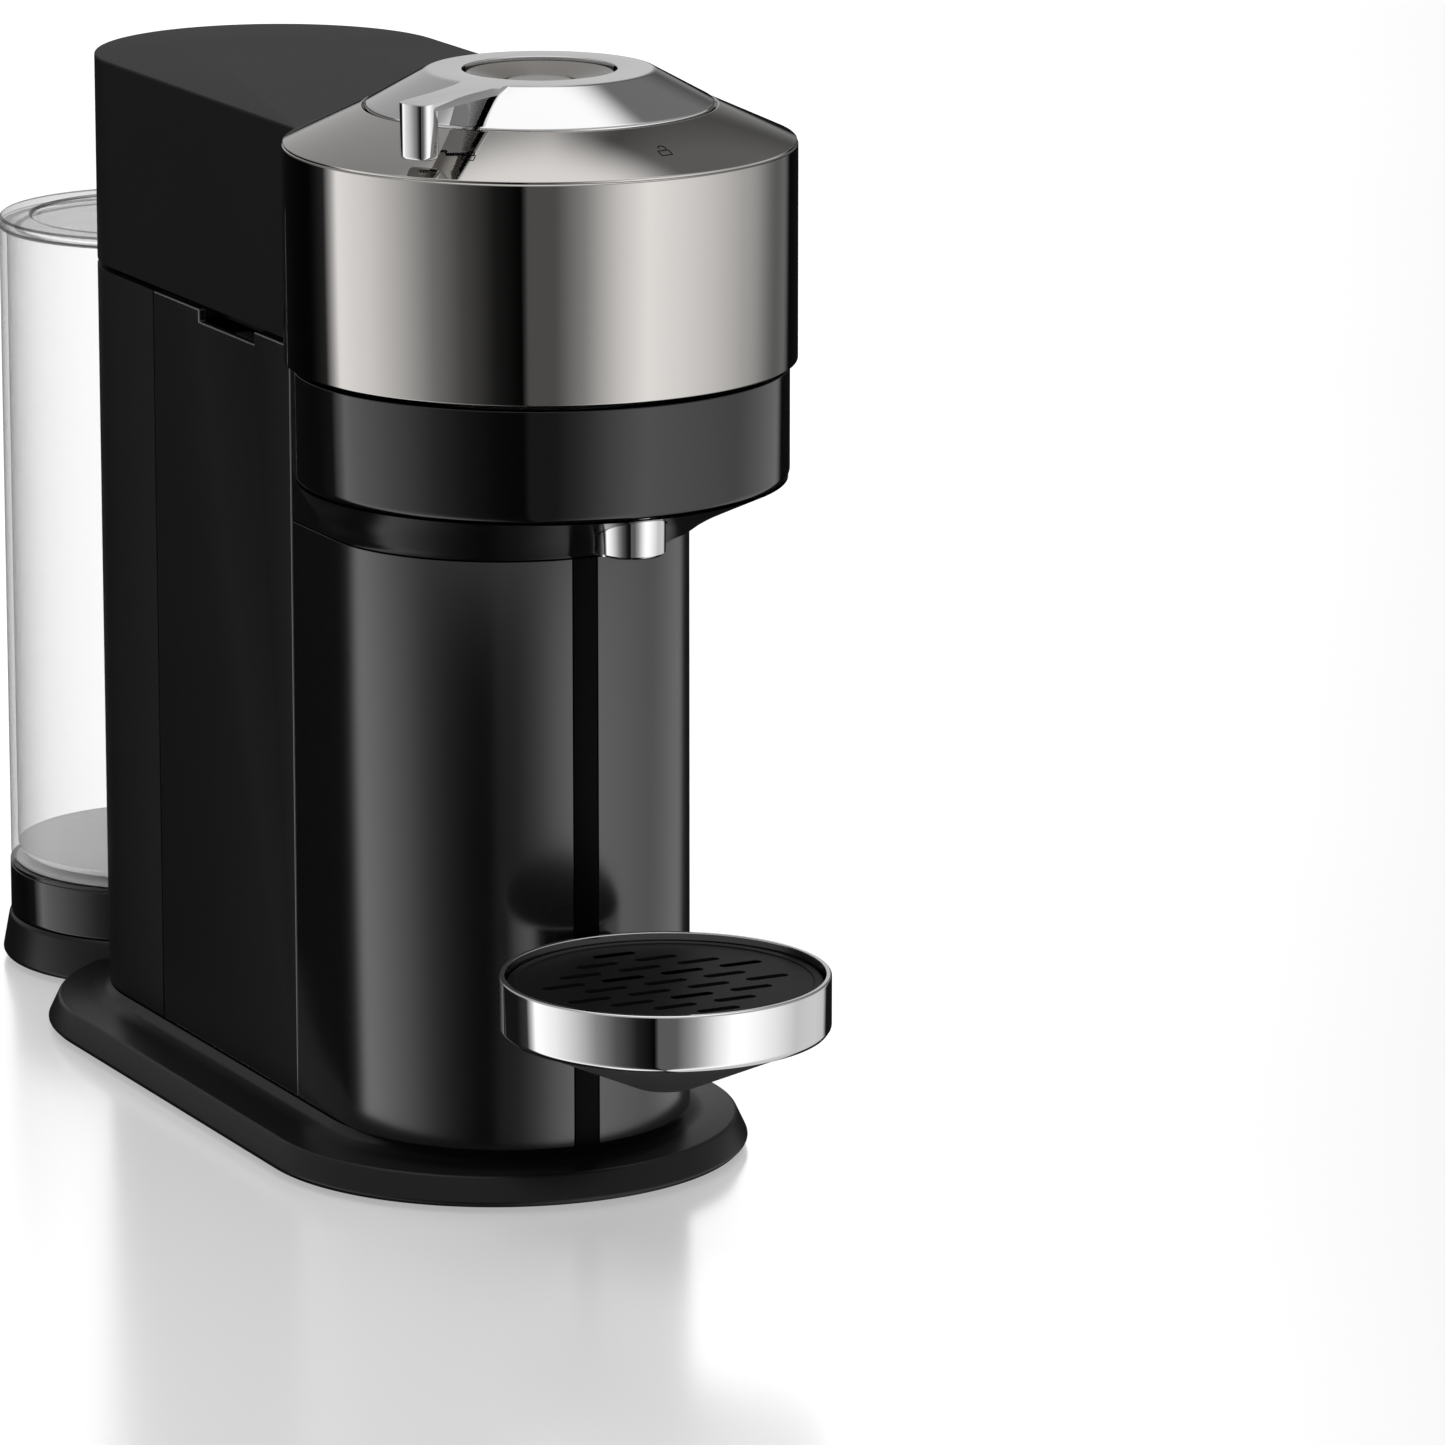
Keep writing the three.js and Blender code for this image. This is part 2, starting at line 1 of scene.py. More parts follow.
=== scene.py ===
# %% [markdown]
# # A capsule coffee machine, dressed for the camera
# The engineering model gives every piece its place and size. This lesson keeps those sizes and
# gives the machine its looks: turned and moulded skins with soft edges, plated metal, clear
# plastic and fine-grained black mouldings, under two tall softboxes and a ceiling light.

import math

import bmesh
import bpy
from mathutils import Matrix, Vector


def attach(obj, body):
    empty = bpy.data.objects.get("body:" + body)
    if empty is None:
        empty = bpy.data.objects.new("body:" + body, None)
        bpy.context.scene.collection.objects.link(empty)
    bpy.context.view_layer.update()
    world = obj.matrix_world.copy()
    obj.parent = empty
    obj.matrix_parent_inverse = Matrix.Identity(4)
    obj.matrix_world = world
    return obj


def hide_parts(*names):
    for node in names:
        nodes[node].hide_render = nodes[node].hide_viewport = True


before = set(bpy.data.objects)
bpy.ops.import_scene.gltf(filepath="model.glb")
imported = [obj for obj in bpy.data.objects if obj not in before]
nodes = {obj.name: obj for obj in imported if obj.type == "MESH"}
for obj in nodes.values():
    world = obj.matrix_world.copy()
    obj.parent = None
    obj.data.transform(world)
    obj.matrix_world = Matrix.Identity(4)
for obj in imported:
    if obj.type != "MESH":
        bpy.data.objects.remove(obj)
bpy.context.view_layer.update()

# %% [markdown]
# ## The camera
# A long lens from the front left, a little above the machine, keeps the upright edges almost
# parallel. It is aimed straight at the machine and has no shift, so that the same camera also
# works when it is walked round to the other sides.

# %% Camera
MM = 0.001
HEAD_Y = -99.475  # the head's axis, in millimetres from the middle of the footprint

camera = bpy.data.objects.new("camera", bpy.data.cameras.new("camera"))
bpy.context.scene.collection.objects.link(camera)
bpy.context.scene.camera = camera
CAMERA_TURN, CAMERA_DIP = 0.468, 0.231  # radians to the right of straight ahead, and down
aim = Vector((
    math.sin(CAMERA_TURN) * math.cos(CAMERA_DIP),
    math.cos(CAMERA_TURN) * math.cos(CAMERA_DIP),
    -math.sin(CAMERA_DIP),
))
camera.location = (-1.0141, -2.2169, 0.6818)
camera.rotation_mode = "QUATERNION"
camera.rotation_quaternion = aim.to_track_quat("-Z", "Y")
camera.data.sensor_width = 36
camera.data.lens = 215.4
camera.data.clip_end = 60
bpy.context.scene.view_settings.view_transform = "Standard"
print("camera", round(camera.location.length, 3), "m from the footprint's middle")

# %% [markdown]
# ## Nodes written as sums
# A material is a graph of nodes, which is slow to read when every link is its own line. The
# first class below wraps one output socket, so that `grain * 0.2 + 0.3` adds the Math nodes
# itself. The second holds a tree, and its one method `wire` adds any other node.

# %% Node trees
class Wire:
    """An output socket that can be added to, multiplied and compared."""

    def __init__(self, board, socket):
        self.board, self.socket = board, socket

    def _math(self, operation, first, second):
        return self.board.wire("ShaderNodeMath", {"operation": operation}, {0: first, 1: second})

    def __add__(self, other):
        return self._math("ADD", self, other)

    def __sub__(self, other):
        return self._math("SUBTRACT", self, other)

    def __mul__(self, other):
        return self._math("MULTIPLY", self, other)

    def __truediv__(self, other):
        return self._math("DIVIDE", self, other)

    def __pow__(self, other):
        return self._math("POWER", self, other)

    def __mod__(self, other):
        return self._math("FLOORED_MODULO", self, other)

    def __gt__(self, other):
        return self._math("GREATER_THAN", self, other)


class Board:
    """A node tree of a material, a world or a geometry modifier."""

    def __init__(self, tree):
        self.tree = tree
        tree.nodes.clear()

    def wire(self, kind, settings=None, inputs=None, out=0):
        """Adds a node; settings are its properties, inputs its sockets. Returns one output."""
        made = self.tree.nodes.new(kind)
        for key, value in (settings or {}).items():
            if key == "stops":
                ramp = made.color_ramp.elements
                while len(ramp) < len(value):
                    ramp.new(1.0)
                for stop, (place, level) in zip(ramp, value):
                    stop.position = place
                    stop.color = (level, level, level, 1)
            else:
                setattr(made, key, value)
        for key, value in (inputs or {}).items():
            if isinstance(value, Wire):
                self.tree.links.new(value.socket, made.inputs[key])
            else:
                made.inputs[key].default_value = value
        return Wire(self, made.outputs[out]) if len(made.outputs) else None

    def noise(self, scale, detail=2.0, stretch=(1, 1, 1)):
        """Noise on Object coordinates, in metres, drawn out along the axes with a low stretch."""
        place = self.wire("ShaderNodeTexCoord", out="Object")
        place = self.wire("ShaderNodeMapping", None, {"Vector": place, "Scale": stretch})
        return self.wire("ShaderNodeTexNoise", None, {"Vector": place, "Scale": scale, "Detail": detail})

    def blend(self, amount, first, second):
        """A mix of two colours: the first where amount is 0, the second where it is 1."""
        return self.wire("ShaderNodeMix", {"data_type": "RGBA"}, {0: amount, 6: first, 7: second}, out=2)

    def bump(self, height, strength, distance):
        """A Bump node's normal; distance is in metres."""
        return self.wire(
            "ShaderNodeBump", None, {"Height": height, "Strength": strength, "Distance": distance},
        )


def grey(value, warm=0.0):
    """A grey as a colour, warmer where warm is above 0."""
    return (value * (1 + warm), value, value * (1 - warm), 1)


def finish(name, fixed, varying):
    """A Principled material. varying(board) returns what changes over the surface."""
    material = bpy.data.materials.new(name)
    material.use_nodes = True
    board = Board(material.node_tree)
    surface = board.wire("ShaderNodeBsdfPrincipled", None, {**fixed, **varying(board)})
    board.wire("ShaderNodeOutputMaterial", None, {"Surface": surface})
    print("finish", name, "uses", len(material.node_tree.nodes), "nodes")
    return material


# %% [markdown]
# ## The studio
# Polished metal shows little but what stands around it. Two tall softboxes with a black flag
# between them make a round wall run from bright at its left, through black, to a second broad
# highlight at its right. Seen from above, an upright wall mirrors what lies below the horizon
# and a sloping top mirrors what lies above it, so the sky has two bands: the boxes below, the
# ceiling above. A lamp straight overhead whitens the lever's slope and the middle of the drum's
# cone. The levels were tuned until the metal showed the wanted highlights. They describe no real
# studio.

# %% Sky with softboxes
CAMERA_COMPASS = math.atan2(-aim.y, -aim.x)  # from the machine towards the camera
SIDE_BOXES = [  # degrees to the right of the camera, brightness
    (-180, 0.01), (-124, 0.01), (-111, 0.05), (-105, 0.8), (-101, 1.55), (-97, 1.45), (-81, 1.2),
    (-64, 0.78), (-48, 0.32), (-34, 0.12), (-19, 0.02), (-6.0, 0.0), (-5.0, 0.14), (8, 0.14),
    (21, 0.44), (36, 1.1), (50, 1.55), (66, 1.35),
    (83, 1.1), (103, 0.75), (116, 0.8), (128, 0.8), (141, 0.7), (148, 0.01), (180, 0.01),
]
HIGH_WALLS = [
    (-180, 0.65), (-174, 0.55), (-166, 0.5), (-150, 0.4), (-90, 0.5), (0, 0.6), (90, 0.5), (125, 0.3),
    (148, 0.2), (160, 0.2), (168, 0.1), (174, 0.3), (179, 0.65), (180, 0.65),
]
BRIGHTEST = 1.6
CEILING_LAMP = 1.4
LAMP_EDGE, HORIZON = (0.76, 0.9), (0.0, 0.09)  # heights of the sky between which one light becomes the next

world = bpy.data.worlds.new("studio")
bpy.context.scene.world = world
world.use_nodes = True
sky = Board(world.node_tree)
direction = sky.wire("ShaderNodeTexCoord", out="Generated")
turn = sky.wire(
    "ShaderNodeVectorRotate", {"rotation_type": "Z_AXIS"}, {"Vector": direction, "Angle": -CAMERA_COMPASS},
)
axes = sky.tree.nodes.new("ShaderNodeSeparateXYZ")
sky.tree.links.new(turn.socket, axes.inputs[0])
towards, aside, up = (Wire(sky, socket) for socket in axes.outputs)
compass = sky.wire("ShaderNodeMath", {"operation": "ARCTAN2"}, {0: aside, 1: towards})
around = compass * (1 / (2 * math.pi)) + 0.5


def band(levels):
    """Brightness by compass direction, from a list of (degrees, brightness)."""
    stops = [((angle + 180) / 360, level / BRIGHTEST) for angle, level in levels]
    return sky.wire("ShaderNodeValToRGB", {"stops": stops}, {0: around})


def rise(low, high):
    """0 below one height of the sky and 1 above another."""
    return sky.wire("ShaderNodeMapRange", {"interpolation_type": "SMOOTHSTEP"}, {0: up, 1: low, 2: high})


lower = band(SIDE_BOXES)
upper = sky.blend(rise(*LAMP_EDGE), band(HIGH_WALLS), grey(CEILING_LAMP / BRIGHTEST))
light = sky.blend(rise(*HORIZON), lower, upper)
glow = sky.wire("ShaderNodeBackground", None, {"Color": light, "Strength": BRIGHTEST})
plain = sky.wire("ShaderNodeBackground", None, {"Color": grey(1.0), "Strength": 1.0})
seen = sky.wire("ShaderNodeLightPath", out="Is Camera Ray")
sky.wire(
    "ShaderNodeOutputWorld", None,
    {"Surface": sky.wire("ShaderNodeMixShader", None, {0: seen, 1: glow, 2: plain})},
)
print("sky has", len(world.node_tree.nodes), "nodes")

# %% [markdown]
# The floor is a large pale sheet, so large that it fills the frame. It is lit to white, has a
# faint gloss that mirrors the base softly, and hides from glossy rays, so that the metal sees
# the softboxes and not the floor.

# %% Floor
FLOOR = 16  # half its width, in metres
FLOOR_GLOW, FLOOR_GLOSS = 0.62, 0.36
floor_mesh = bpy.data.meshes.new("floor")
corners = [(-FLOOR, -FLOOR, 0), (FLOOR, -FLOOR, 0), (FLOOR, FLOOR, 0), (-FLOOR, FLOOR, 0)]
floor_mesh.from_pydata(corners, [], [(0, 1, 2, 3)])
floor = bpy.data.objects.new("floor", floor_mesh)
bpy.context.scene.collection.objects.link(floor)
floor.visible_glossy = False
floor_finish = bpy.data.materials.new("floor")
floor_finish.use_nodes = True
sheet = Board(floor_finish.node_tree)
tone = sheet.blend(sheet.noise(3.0), grey(0.5), grey(0.53))
matt = sheet.wire("ShaderNodeBsdfDiffuse", None, {"Color": tone})
lamp = sheet.wire("ShaderNodeEmission", None, {"Color": grey(1.0), "Strength": FLOOR_GLOW})
lit = sheet.wire("ShaderNodeAddShader", None, {0: matt, 1: lamp})
shine = sheet.wire("ShaderNodeBsdfGlossy", None, {"Color": grey(2.2), "Roughness": 0.2})
mixed = sheet.wire("ShaderNodeMixShader", None, {0: FLOOR_GLOSS, 1: lit, 2: shine})
sheet.wire("ShaderNodeOutputMaterial", None, {"Surface": mixed})
floor_mesh.materials.append(floor_finish)

# %% [markdown]
# ## Finishes
# Each finish is procedural and reads Object coordinates, so its grain stays the same size on
# every piece. Black mouldings have a fine spark-eroded grain, which shows as a slightly uneven
# sheen. Plating has no grain, only a slow ripple in its roughness and a hint of polishing.

# %% Black mouldings
def moulded(name, colour, specular, rough, grain=0.2, warm=0.0):
    """Moulded plastic: its colour, specular level, roughness and how strong its grain is."""
    def varying(board):
        fine, cloud = board.noise(2400.0), board.noise(22.0, 3.0)
        return {
            "Base Color": board.blend(cloud, grey(colour * 0.88, warm), grey(colour * 1.12, warm)),
            "Roughness": (fine - 0.5) * 0.1 + cloud * 0.05 + (rough - 0.025),
            "Normal": board.bump(fine, grain, 0.00003),
        }
    return finish(name, {"Specular IOR Level": specular}, varying)


matte_black = moulded("matte_black", 0.0055, 0.13, 0.5)
# The edge finish below is glossier and lighter than matte_black; its lighter colour is a painted highlight
# for the side panels' seams.
edge_black = moulded("edge_black", 0.07, 1.0, 0.25, grain=0.0)
rail_black = moulded("rail_black", 0.0008, 0.04, 0.4, grain=0.0)
satin_black = moulded("satin_black", 0.005, 0.26, 0.32, grain=0.08)
column_black = moulded("column_black", 0.003, 1.0, 0.2, grain=0.04)
gloss_black = moulded("gloss_black", 0.002, 0.6, 0.06, grain=0.0)
dark_plastic = moulded("dark_plastic", 0.02, 0.4, 0.42)
bowl_grey = moulded("bowl_grey", 0.045, 0.5, 0.42)
rubber = moulded("rubber", 0.012, 0.2, 0.8, grain=0.5)
silicone = moulded("silicone", 0.55, 0.4, 0.5, warm=0.04)

# %% Plated and bare metals
GLANCING = (0.36, 0.62)  # how edge-on a face is where fading starts and where it ends


def metal(name, colour, rough, warm=0.0, hair=0.0, stretch=(1, 1, 1), fade_below=0.0):
    """Metal: its colour, roughness, warmth, and the strength and lie of its polishing marks.

    Below the height fade_below it darkens where it is seen at a glancing angle. That fade is
    painted shade, a choice for the picture: real plating gets brighter there.
    """
    def varying(board):
        slow, marks = board.noise(14.0), board.noise(900.0, 2.0, stretch)
        tone = board.blend(slow, grey(colour * 0.96, warm), grey(colour, warm))
        if fade_below:  # the split takes the height out of the Object coordinates
            facing = board.wire("ShaderNodeLayerWeight", None, {"Blend": 0.5}, out="Facing")
            glancing = board.wire(
                "ShaderNodeMapRange", {"interpolation_type": "SMOOTHSTEP"},
                {0: facing, 1: GLANCING[0], 2: GLANCING[1]},
            )
            split = board.tree.nodes.new("ShaderNodeSeparateXYZ")
            board.tree.links.new(board.wire("ShaderNodeTexCoord", out="Object").socket, split.inputs[0])
            wall = board.wire(
                "ShaderNodeMath", {"operation": "LESS_THAN"},
                {0: Wire(board, split.outputs[2]), 1: fade_below},
            )
            # painted shade: below fade_below the colour darkens towards the glancing sides
            tone = board.blend(glancing * wall, tone, grey(colour * 0.1, warm))
        return {
            "Base Color": tone,
            "Roughness": slow * 0.02 + (marks - 0.5) * (0.06 + hair) + rough,
            "Normal": board.bump(marks, hair, 0.00002),
        }
    return finish(name, {"Metallic": 1.0}, varying)


# the drum's wall, below 293.5 mm, gets the painted shade at its glancing sides
gunmetal = metal("gunmetal", 0.46, 0.045, warm=0.035, hair=0.02, stretch=(1, 1, 0.02), fade_below=0.2935)
chrome = metal("chrome", 0.7, 0.02)
steel = metal("steel", 0.5, 0.3, warm=0.01, hair=0.06, stretch=(1, 0.05, 1))
aluminium = metal("aluminium", 0.62, 0.34, hair=0.05, stretch=(0.05, 1, 1))

# %% Clear and smoked plastic
def see_through(name, face, rim, thin, thick, rough):
    """Clear plastic: its colour and how solid it looks, first seen flat on and then at its rims."""
    def varying(board):
        edge = board.wire("ShaderNodeLayerWeight", None, {"Blend": 0.4}, out="Facing") ** 1.7
        cloud = board.noise(30.0)
        return {
            "Base Color": board.blend(edge, face, rim),
            "Roughness": cloud * 0.02 + rough,
            "Alpha": edge * (thick - thin) + thin,
        }
    return finish(name, {"IOR": 1.49}, varying)


clear = see_through("clear", grey(0.8), grey(0.16), 0.05, 0.75, 0.03)
clear_edge = see_through("clear_edge", grey(0.02), grey(0.01), 0.75, 0.95, 0.1)
frosted = see_through("frosted", grey(0.9), grey(0.75), 0.88, 0.94, 0.3)
smoked = see_through("smoked", grey(0.3, 0.07), grey(0.12, 0.07), 0.75, 0.95, 0.1)


def printed_board(board):
    """Green lacquer with paler tracks."""
    tracks = board.noise(420.0, 1.0) > 0.6
    return {
        "Base Color": board.blend(tracks, (0.01, 0.07, 0.03, 1), (0.05, 0.16, 0.07, 1)),
        "Roughness": board.noise(50.0) * 0.2 + 0.3,
    }


circuit = finish("circuit", {}, printed_board)

# %% [markdown]
# ## Ring skins
# Nearly every shell of the machine is either turned (a circle) or drawn from a stadium, which
# is two half circles joined by straight sides. Both are one idea: a list of rings, each with a
# radius and a height, joined into a skin. A corner in the list can carry a fillet, because a
# moulded edge always catches a thin line of light and a perfectly sharp one never does.

# %% Profiles and outlines
def rounded(profile, closed, steps=5):
    """A profile of (r, z) or (r, z, fillet), with its filleted corners drawn as small curves."""
    result = []
    last = len(profile) - 1
    for i, corner in enumerate(profile):
        here = Vector(corner[:2])
        fillet = corner[2] if len(corner) > 2 else 0
        if not fillet or (not closed and i in (0, last)):
            result.append(tuple(here))
            continue
        before = Vector(profile[i - 1][:2]) - here
        after = Vector(profile[(i + 1) % len(profile)][:2]) - here
        reach = min(fillet, before.length * 0.48, after.length * 0.48)
        start, end = here + before.normalized() * reach, here + after.normalized() * reach
        for k in range(steps + 1):
            t = k / steps
            result.append(tuple(start * (1 - t) ** 2 + here * 2 * t * (1 - t) + end * t ** 2))
    return result


def outline(r, y0, y1, n):
    """A stadium of about n points with end centres at y0 and y1; a circle where they are equal."""
    half = n // 2
    last = half - 1 if y0 == y1 else half
    return [
        (r * math.cos(start + math.pi * i / half), centre + r * math.sin(start + math.pi * i / half))
        for centre, start in ((y0, math.pi), (y1, 0.0)) for i in range(last + 1)
    ]


def skin(name, rings, closed=False):
    """Joins loops of (x, y, z), in millimetres from the head's axis, into a mesh."""
    shape = bmesh.new()
    loops = [[shape.verts.new((x * MM, (y + HEAD_Y) * MM, z * MM)) for x, y, z in ring] for ring in rings]
    for low, high in list(zip(loops, loops[1:])) + ([(loops[-1], loops[0])] if closed else []):
        for j in range(len(low)):
            k = (j + 1) % len(low)
            shape.faces.new((low[j], low[k], high[k], high[j]))
    if not closed:
        shape.faces.new(list(reversed(loops[0])))
        shape.faces.new(loops[-1])
    mesh = bpy.data.meshes.new(name)
    shape.to_mesh(mesh)
    shape.free()
    return mesh


def turned(name, profile, y0=0.0, y1=None, n=128, closed=False):
    """A turned or stadium-shaped solid from its profile, up its outside and down its inside."""
    y1 = y0 if y1 is None else y1
    rings = [[(x, y, z) for x, y in outline(r, y0, y1, n)] for r, z in rounded(profile, closed)]
    return skin(name, rings, closed)


def block(x0, x1, y0, y1, z0, z1):
    """A box from its lowest and highest corners, used to cut with or to be bevelled."""
    plan = [(x0, y0), (x1, y0), (x1, y1), (x0, y1)]
    return skin("block", [[(x, y, z) for x, y in plan] for z in (z0, z1)])


def rod(r, x0, x1, y, z, n=64):
    """A round bar that lies along X."""
    turns = [2 * math.pi * i / n for i in range(n)]
    return skin("rod", [[(x, y + r * math.cos(a), z + r * math.sin(a)) for a in turns] for x in (x0, x1)])


# %% [markdown]
# Cut-outs and joins are Boolean modifiers on a throwaway object. The object is evaluated and
# the result kept as a plain mesh, and an optional Bevel at the end softens the new edges.

# %% Joining, cutting and softening
def evaluated(mesh, *modifiers):
    """The mesh after a list of modifiers, each a type and its settings."""
    maker = bpy.data.objects.new("maker", mesh)
    bpy.context.scene.collection.objects.link(maker)
    for kind, settings in modifiers:
        modifier = maker.modifiers.new(kind, kind)
        for key, value in settings.items():
            setattr(modifier, key, value)
    graph = bpy.context.evaluated_depsgraph_get()
    result = bpy.data.meshes.new_from_object(maker.evaluated_get(graph))
    bpy.data.objects.remove(maker)
    return result


def shaped(mesh, *steps, soft=0.0, angle=35):
    """Applies ("cut" or "join", mesh) steps in order, then rounds edges over by soft mm.

    Edges that meet at more than angle degrees are rounded, and their faces take finish 1.
    """
    tools, modifiers = [], []
    while len(mesh.materials) < 2:
        mesh.materials.append(None)
    for action, other in steps:
        tool = bpy.data.objects.new("tool", other)
        bpy.context.scene.collection.objects.link(tool)
        tools.append(tool)
        operation = "UNION" if action == "join" else "DIFFERENCE"
        modifiers.append(("BOOLEAN", {"operation": operation, "object": tool, "solver": "EXACT"}))
    if soft:
        modifiers.append(("BEVEL", {
            "width": soft * MM, "segments": 3, "limit_method": "ANGLE",
            "angle_limit": math.radians(angle), "use_clamp_overlap": True, "material": 1,
        }))
    result = evaluated(mesh, *modifiers)
    for tool in tools:
        bpy.data.objects.remove(tool)
    return result


def show(name, mesh, material, body, *stands_for, slot=None, sharp=30, edge=None):
    """Puts a finished mesh in the scene: smooth, in its finish, riding on its body.

    Edges that shaped() rounded over, or that rim() marked, take the edge finish if there is one.
    On the side panels that finish is lighter than the faces: a painted highlight along the seams.
    """
    made = bpy.data.objects.new(name, mesh)
    bpy.context.scene.collection.objects.link(made)
    mesh.name = name
    if edge:
        while len(mesh.materials) < 2:
            mesh.materials.append(None)
        mesh.materials[0], mesh.materials[1] = material, edge
    else:
        mesh.materials.clear()
        mesh.materials.append(material)
    mesh.shade_smooth()
    mesh.set_sharp_from_angle(angle=math.radians(sharp))
    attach(made, body)
    if stands_for:
        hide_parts(*stands_for)
    print(name, "has", len(mesh.polygons), "faces")
    return made


def rim(mesh, *spans, index=1):
    """Gives faces in a span (r0, r1, z0, z1) about the tank's axis another of the mesh's finishes."""
    for face in mesh.polygons:
        x, y, z = (v / MM for v in face.center)
        r = math.hypot(x, y - HEAD_Y - TANK_Y)
        if any(r0 <= r <= r1 and z0 <= z <= z1 for r0, r1, z0, z1 in spans):
            face.material_index = index
    return mesh


def dress(material, *names):
    """A better finish on engineering nodes that keep their own shape."""
    for one in names:
        nodes[one].data.materials.clear()
        nodes[one].data.materials.append(material)


# %% [markdown]
# ## Base
# The base plate is a low stadium with a sloping rim. Its top dips to a soft collar round the
# column, which is what catches the long highlight at its foot. The back is hollowed so that the
# tank's round cradle nests into it.

# %% Base plate
BASE_ENDS = {"y0": 30, "y1": 180, "n": 200}
TANK_Y = 271


def tank_space(r):
    """What has to be cut away around the tank."""
    return turned("tank_space", [(r, -5), (r, 260)], y0=TANK_Y, n=160)


collar = [(69.6, 1.6), (71, 3, 0.6), (67.7, 10, 0.8), (57, 11, 3), (53.6, 12.2, 1.2), (52.2, 14)]
base_hollow = shaped(turned("hollow", [(66, 0.5), (64.6, 7)], **BASE_ENDS), ("cut", tank_space(53)))
base_plate = shaped(
    turned("base_plate", collar, **BASE_ENDS),
    ("cut", tank_space(50.6)), ("cut", base_hollow),
)
show("base_plate_skin", base_plate, satin_black, "body", "base_plate")

# %% [markdown]
# ## Column
# Four shells make the column: a front drawer, two flat side panels and a rear shell. They are
# moulded separately, so every joint is a thin dark line between two softened edges. Cutting
# them from one stadium keeps the surfaces in line across the joints. The panels' edges take a
# glossier finish in a lighter colour; the lighter colour is a painted highlight, which draws the
# thin bright lines along the seams.

# %% Column shells
COLUMN = {"y0": 24.25, "y1": 181.7, "n": 240}
COL_R, WALL, LOW, TOP = 51.8, 2.4, 14.4, 231.6
SEAM_FRONT, SEAM_REAR = 54, 151


def column(inset, z0, z1):
    """The whole column as one solid, drawn in by inset."""
    return turned("column", [(COL_R - inset, z0), (COL_R - inset, z1)], **COLUMN)


def notch(sign):
    """The release notch at the top of a side panel."""
    return block(sign * 50 - 5, sign * 50 + 5, 79, 118, 228, 240)


for side, sign in (("left", -1), ("right", 1)):
    panel = block(sign * 50.6 - 1.2, sign * 50.6 + 1.2, SEAM_FRONT + 0.4, SEAM_REAR - 0.4, LOW, TOP)
    panel = shaped(panel, ("cut", notch(sign)), soft=0.4)
    # the panels' edges take the lighter finish, a painted highlight along the seams
    show(f"side_panel_{side}_skin", panel, matte_black, "body", f"side_panel_{side}", edge=edge_black)

rear_hollow = shaped(column(WALL, LOW - 1, TOP - WALL), ("cut", tank_space(49.2 + WALL)))
rear_shell = shaped(
    column(0, LOW, TOP), ("cut", block(-60, 60, -80, SEAM_REAR + 0.4, 0, 300)), ("cut", tank_space(49.2)),
    ("cut", rear_hollow), ("cut", block(-13.5, 13.5, 202, 215, 225, 240)), ("cut", rod(5.3, 45, 55, 168, 27)),
    soft=0.4,
)
show("rear_shell_skin", rear_shell, matte_black, "body", "rear_shell")

# %% [markdown]
# The front drawer has a glossier skin than the sides, and a flush rail strip that the cup tray
# climbs on.

# %% Front drawer and rail
front_hollow = turned("front_hollow", [(COL_R - WALL, 16.8), (COL_R - WALL, 179.5)], **COLUMN)
front_shell = shaped(
    column(0, LOW, 181.9), ("cut", block(-60, 60, SEAM_FRONT - 0.3, 260, 0, 300)), ("cut", front_hollow),
    ("cut", block(-3.9, 3.9, -30, -26.4, 10, 184)), soft=0.3,
)
show("front_shell_skin", front_shell, column_black, "drawer", "front_shell")
rail = shaped(block(-3.6, 3.6, -27.4, -26.5, 14.6, 181.9), soft=0.1)
show("rail_strip_skin", rail, rail_black, "drawer", "rail_strip")

# %% [markdown]
# ## Neck
# Above the drawer the column flares out to carry the round brewing head. The flare's rings grow
# and slide forward at the same time. A smooth curve through six known rings gives the rest.

# %% Neck flare
NECK = [  # radius, height, centre
    (51.8, 182.3, 24.25), (53.2, 183.3, 22.2), (55, 185.9, 19.6), (58, 189.6, 15.2), (61.6, 193.4, 9.9),
    (68.4, 200.2, 0),
]


def between(points, t):
    """A point on the smooth curve through the points; t runs from 0 to their count less one."""
    i = min(int(t), len(points) - 2)
    f = t - i
    p = [Vector(points[min(max(k, 0), len(points) - 1)]) for k in (i - 1, i, i + 1, i + 2)]
    return 0.5 * (
        2 * p[1] + (p[2] - p[0]) * f + (2 * p[0] - 5 * p[1] + 4 * p[2] - p[3]) * f ** 2
        + (3 * p[1] - p[0] - 3 * p[2] + p[3]) * f ** 3
    )


def flare(inset, steps=30):
    """The neck's skin, drawn in by inset."""
    rings = []
    for k in range(steps + 1):
        r, z, centre = between(NECK, (len(NECK) - 1) * k / steps)
        rings.append([(x, y, z) for x, y in outline(r - inset, centre, centre, 160)])
    return skin("flare", rings)


neck_hollow = shaped(
    flare(WALL), ("join", turned("seat", [(65.8, 200.1), (65.8, 203)], n=160)),
    ("join", block(-COL_R + WALL, COL_R - WALL, 24, 70, 182, 203)),
    ("cut", block(-80, 80, -80, 80, 0, 184.7)),
)
neck = shaped(
    flare(0),
    ("join", shaped(column(0, 182.3, 200.2), ("cut", block(-60, 60, -80, 24, 0, 300)),
                    ("cut", block(-60, 60, SEAM_FRONT - 0.9, 260, 0, 300)))),
    ("cut", neck_hollow), ("cut", turned("hub", [(16.4, 180), (16.4, 190)])),
    ("cut", turned("spout_hole", [(9.5, 180), (9.5, 210)], y0=-57)),
    ("cut", block(-9.5, 9.5, -57, -51.5, 180, 210)),
)
show("neck_skin", neck, column_black, "body", "neck_shell")

